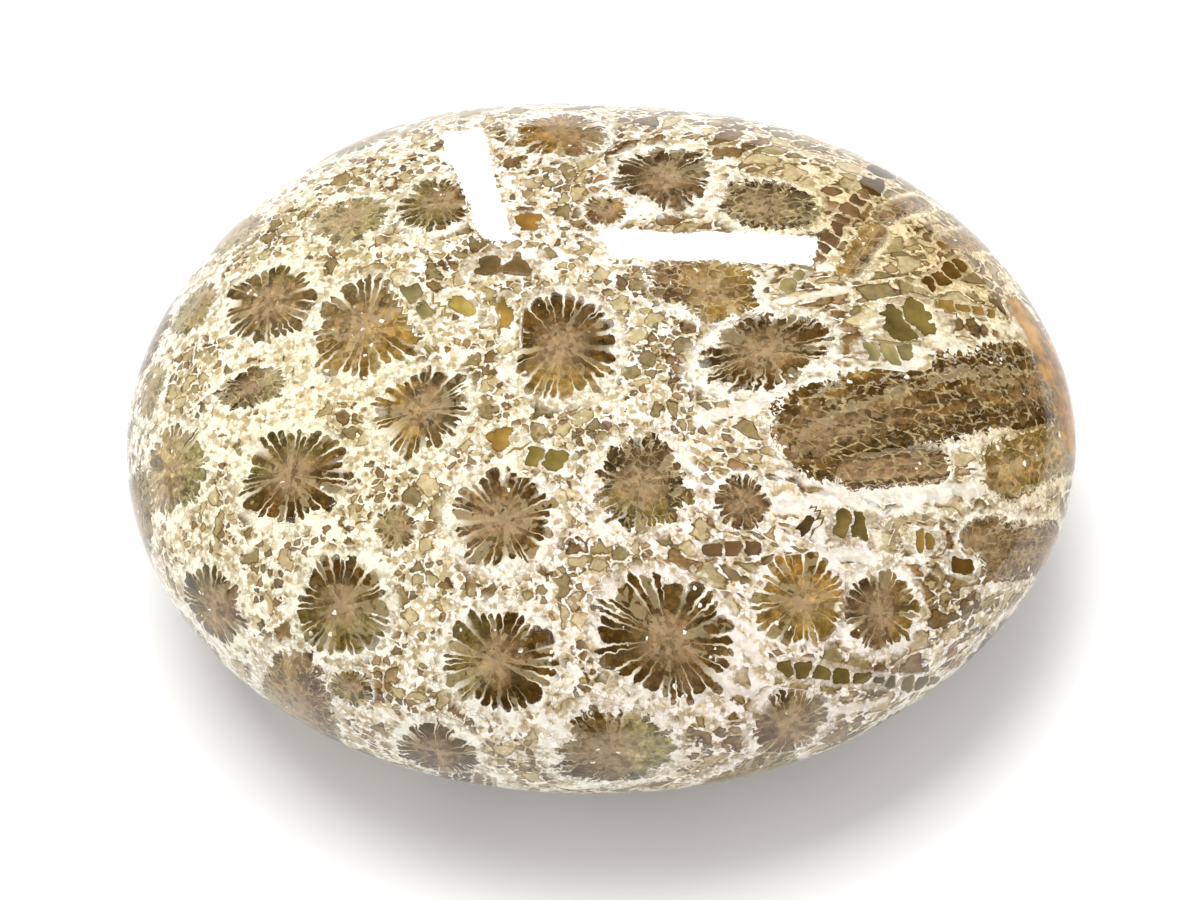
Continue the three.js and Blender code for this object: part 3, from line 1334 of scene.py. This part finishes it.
    def ladder(self, bench: Bench, place: Signal) -> tuple[Signal, Signal]:
        """Draw the rows of clear chambers that are cut lengthwise.

        Args:
            bench: The node bench.
            place: The place on the stone, in millimetres.

        Returns:
            The chambers' colour, and where they are.
        """
        seed, _, _ = bench.split(bench.attribute("tube_facts"))
        length, chambers, _ = bench.split(bench.attribute("tube_form"))
        u, v, along = bench.split(bench.attribute("tube_place"))
        cloud = bench.noise(place, 1.3, 4.0)
        sway = cloud - 0.5
        far = bench.maths("SQRT", u * u + v * v + NEARLY_ZERO)
        step = (along / length * 0.5 + 0.5) * chambers + sway * 1.4
        chamber = bench.maths("FLOOR", step)
        size_draw, tone_draw, shape_draw = bench.dice(chamber + seed * CHAMBER_SALT)
        part = bench.maths("FRACT", step) - 0.5
        offset = part * 2.0 / bench.mixed(shape_draw, 0.76, 0.94)
        across = (far + sway * 1.4) / bench.mixed(size_draw, 0.7, 1.15)
        number = chamber + 0.5
        in_row = bench.step(number, -0.01, 0.01) * (1.0 - bench.step(number - chambers, -0.01, 0.01))
        offset_squared = offset * offset
        across_squared = across * across
        inside = 1.0 - offset_squared * offset_squared - across_squared * across_squared
        tone = bench.mixed(tone_draw, 0.6, 1.3) * (0.4 + cloud * 1.1) * (1.0 + part * 0.6)
        # Painted shade: each chamber darkens towards its wall, where the clear chalcedony looks deeper.
        tone = tone * (1.0 - (1.0 - bench.step(inside, 0.1, 0.6)) * 0.5)
        share = bench.step(inside, -0.05, 0.15) * in_row
        return bench.toned(bench.attribute("tube_stain"), tone), share

    def celled(self, bench: Bench, base: Signal, deep: Signal, share: Signal, fill: Signal) -> Signal:
        """Set clear cells in a colour, each with a dark outline of painted shade inside its wall, where
        the clear chalcedony looks deeper.

        Args:
            bench: The node bench.
            base: The colour around the cells.
            deep: How deep inside a cell a place is, in millimetres.
            share: How much of the cell shows.
            fill: The cell's colour.

        Returns:
            The colour with the cells.
        """
        # Painted shade: a dark band inside each cell's wall stands in for the shade seen down into the
        # clear chalcedony.
        shaded_outline = bench.painted(1.0, fill, daylight(self.cell_depth_shade_tone), "MULTIPLY")
        rim = bench.step(deep, 0.0, 0.04)
        body = bench.step(deep, 0.03, 0.16)
        return bench.painted(rim * share, base, bench.painted(body, shaded_outline, fill))

    def ground(
        self, bench: Bench, place: Signal, ring: Signal, facets: Facets, grains: Facets
    ) -> Signal:
        """Draw the coral between the corallites: white walls around small clear cells.

        Args:
            bench: The node bench.
            place: The place on the stone, in millimetres.
            ring: How far outside the nearest flower a place is.
            facets: The finest cells.
            grains: The next larger cells.

        Returns:
            The colour.
        """
        where = bench.attribute("fan_place")
        length_place, _, _ = bench.split(place)
        crowd = bench.noise(place, 4.5, 2.0) + length_place * self.crowding
        zone = bench.noise(place, 3.5, 2.0)
        veil = bench.noise(where, 0.9, 4.0)
        colour = self.walls(bench, ring, veil, facets)
        hue = bench.step(grains.third + (zone - 0.5) * 1.5, 0.2, 0.8)
        small = bench.between(hue, self.small_cell_tones)
        small = bench.toned(small, bench.mixed(grains.tone, 0.5, 1.45))
        small_open = bench.step(grains.pick + (crowd - 0.5) * 1.2, 0.46, 0.5)
        small_deep = grains.edge - (veil - 0.3) * 0.22
        colour = self.celled(bench, colour, small_deep, small_open * ring * 0.9, small)
        cells = self.cut(bench, bench.warped(where, 0.9, 1.0, 4.0), self.large_cell_size)
        hue = bench.step(cells.third + (zone - 0.5) * 1.5, 0.2, 0.8)
        large = bench.between(hue, self.large_cell_tones)
        clouded = bench.step(veil + (cells.tone - 0.5) * 0.8, 0.42, 0.7)
        large = bench.painted(clouded * 0.55, large, daylight(self.clouded_cell_tone))
        tone = bench.mixed(cells.tone, 0.55, 1.15) * (0.78 + facets.tone * 0.35)
        large_open = bench.step(cells.pick + (crowd - 0.5) * 2.0, 0.5, 0.54)
        large_deep = cells.edge - (veil - 0.3) * 0.4
        return self.celled(
            bench, colour, large_deep, large_open * ring * 0.94, bench.toned(large, tone)
        )

    def walls(self, bench: Bench, ring: Signal, veil: Signal, facets: Facets) -> Signal:
        """Colour the white coral, with its veils, creases and small brown nibs.

        Args:
            bench: The node bench.
            ring: How far outside the nearest flower a place is.
            veil: Soft noise, drawn out along the fan.
            facets: The finest cells.

        Returns:
            The colour.
        """
        mottle = bench.step(veil + (facets.pick - 0.5) * 0.6, 0.36, 0.66)
        veiled = mottle * bench.mixed(ring, 0.3, 0.75)
        white = bench.painted(veiled, bench.attribute("wash"), daylight(self.veil_tone))
        white = bench.toned(white, 0.82 + facets.tone * 0.2)
        creases = (1.0 - bench.step(facets.edge, 0.0, 0.04)) * bench.step(veil, 0.4, 0.6)
        white = bench.painted(creases * 0.6, white, daylight(self.crease_tone))
        nib = bench.step(facets.pick + (veil - 0.5) * 1.6, 0.74, 0.78)
        nib = nib * bench.step(facets.edge, 0.02, 0.06)
        return bench.painted(nib * 0.7, white, bench.between(facets.third, self.nib_tones))

    def shade(self, bench: Bench, place: Signal, colour: Signal) -> None:
        """Turn the colour into a polished surface.

        Args:
            bench: The node bench.
            place: The place on the stone, in millimetres.
            colour: The stone's colour.
        """
        values = {"Roughness": self.roughness, "IOR": self.ior}
        shader = bench.surface("ShaderNodeBsdfPrincipled", values)
        bench.feed(shader.inputs["Base Color"], colour)
        height = bench.noise(place, self.bump_size, 2.0)
        inputs = {"Strength": 1.0, "Distance": self.bump_height * MM, "Height": height}
        bench.feed(shader.inputs["Normal"], bench.add("ShaderNodeBump", inputs))


@dataclass(frozen=True)
class Glint:
    """The mirror image of a lamp on the stone, by its corners in the photograph, clockwise."""

    name: str
    corners: tuple[Pixel, Pixel, Pixel, Pixel]

    def seen_at(self, across: float, down: float) -> Pixel:
        """Find a place inside the mirror image.

        Args:
            across: From 0 at its left side to 1 at its right side.
            down: From 0 at its top to 1 at its foot.

        Returns:
            The place's pixel.
        """
        top_left, top_right, bottom_right, bottom_left = self.corners
        shares = (
            (top_left, (1 - across) * (1 - down)),
            (top_right, across * (1 - down)),
            (bottom_right, across * down),
            (bottom_left, (1 - across) * down),
        )
        x = sum(corner.x * share for corner, share in shares)
        y = sum(corner.y * share for corner, share in shares)
        return Pixel(x, y)


GLINTS = (
    Glint("left_lamp", (Pixel(441, 132), Pixel(480, 126), Pixel(513, 240), Pixel(482, 240))),
    Glint("right_lamp", (Pixel(598, 230), Pixel(818, 236), Pixel(812, 266), Pixel(612, 258))),
)


@dataclass
class Studio:
    """The pale floor, the soft light and the lamps that the stone mirrors."""

    view: PhotoView
    floor_size: float = 3.0
    floor_tone: tuple[float, float, float, float] = (0.86, 0.86, 0.86, 1.0)
    floor_roughness: float = 0.7
    sky_tone: tuple[float, float, float, float] = (1.0, 1.0, 1.0, 1.0)
    sky_strength: float = 0.9
    softbox_size: tuple[float, float] = (0.5, 0.4)
    softbox_power: float = 6.3
    softbox_place: tuple[float, float, float] = (-0.13, 0.24, 0.87)
    lamp_distance: float = 0.6
    lamp_squares: int = 8
    lamp_strength: float = 22.0

    def build(self, stone: bpy.types.Object) -> None:
        """Set up the studio around the stone.

        Args:
            stone: The stone's surface.
        """
        bpy.context.scene.view_settings.view_transform = "Standard"
        self.lay_floor()
        self.light_sky()
        self.hang_softbox()
        surface = BVHTree.FromObject(stone, bpy.context.evaluated_depsgraph_get())
        for glint in GLINTS:
            self.hang_lamp(glint, surface)

    def lay_floor(self) -> None:
        """Add the floor."""
        bpy.ops.object.select_all(action="DESELECT")
        bpy.ops.mesh.primitive_plane_add(size=self.floor_size)
        floor = bpy.context.object
        floor.name = "floor"
        material = bpy.data.materials.new("white_card")
        values = {"Base Color": self.floor_tone, "Roughness": self.floor_roughness}
        Bench(material).surface("ShaderNodeBsdfPrincipled", values)
        floor.data.materials.append(material)

    def light_sky(self) -> None:
        """Fill the room with even light, which the stone doesn't mirror."""
        world = bpy.data.worlds.new("soft_room")
        world.use_nodes = True
        background = world.node_tree.nodes["Background"]
        background.inputs["Color"].default_value = self.sky_tone
        background.inputs["Strength"].default_value = self.sky_strength
        bpy.context.scene.world = world
        world.cycles_visibility.glossy = False

    def hang_softbox(self) -> None:
        """Hang a large soft lamp high above the stone, a little behind it."""
        data = bpy.data.lights.new("softbox", "AREA")
        data.shape = "RECTANGLE"
        data.size, data.size_y = self.softbox_size
        data.energy = self.softbox_power
        lamp = bpy.data.objects.new("softbox", data)
        bpy.context.scene.collection.objects.link(lamp)
        lamp.location = self.softbox_place
        lamp.rotation_euler = (-lamp.location).to_track_quat("-Z", "Y").to_euler()
        lamp.visible_camera = False
        lamp.visible_glossy = False

    def hang_lamp(self, glint: Glint, surface: BVHTree) -> None:
        """Hang a bright sheet where the stone mirrors it to the glint's place.

        Args:
            glint: The mirror image.
            surface: The stone's surface.
        """
        bpy.ops.object.select_all(action="DESELECT")
        bpy.ops.mesh.primitive_grid_add(
            x_subdivisions=self.lamp_squares, y_subdivisions=self.lamp_squares, size=2
        )
        lamp = bpy.context.object
        lamp.name = glint.name
        eye = self.view.eye()
        for corner in lamp.data.vertices:
            ray = self.view.ray(glint.seen_at((corner.co.x + 1) / 2, (1 - corner.co.y) / 2))
            place, normal, _, _ = surface.ray_cast(eye, ray)
            corner.co = place + ray.reflect(normal) * self.lamp_distance
        material = bpy.data.materials.new(glint.name)
        Bench(material).surface("ShaderNodeEmission", {"Strength": self.lamp_strength})
        lamp.data.materials.append(material)
        lamp.visible_camera = False
        lamp.visible_diffuse = False
        lamp.visible_shadow = False


def main() -> None:
    """Build the stone, its finish and the studio around it."""
    logging.basicConfig(level=logging.INFO, format="%(name)s: %(message)s")
    view = PhotoView()
    view.place_camera()
    stone = PolishedStone().build()
    LOG.info("polished_stone: %d faces", len(stone.data.polygons))
    Colony(view, Fan(), stone).write()
    stone.data.materials.append(CoralFinish().material())
    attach(stone, "root")
    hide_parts(STONE_NODE)
    Studio(view).build(stone)


if __name__ == "__main__":
    main()
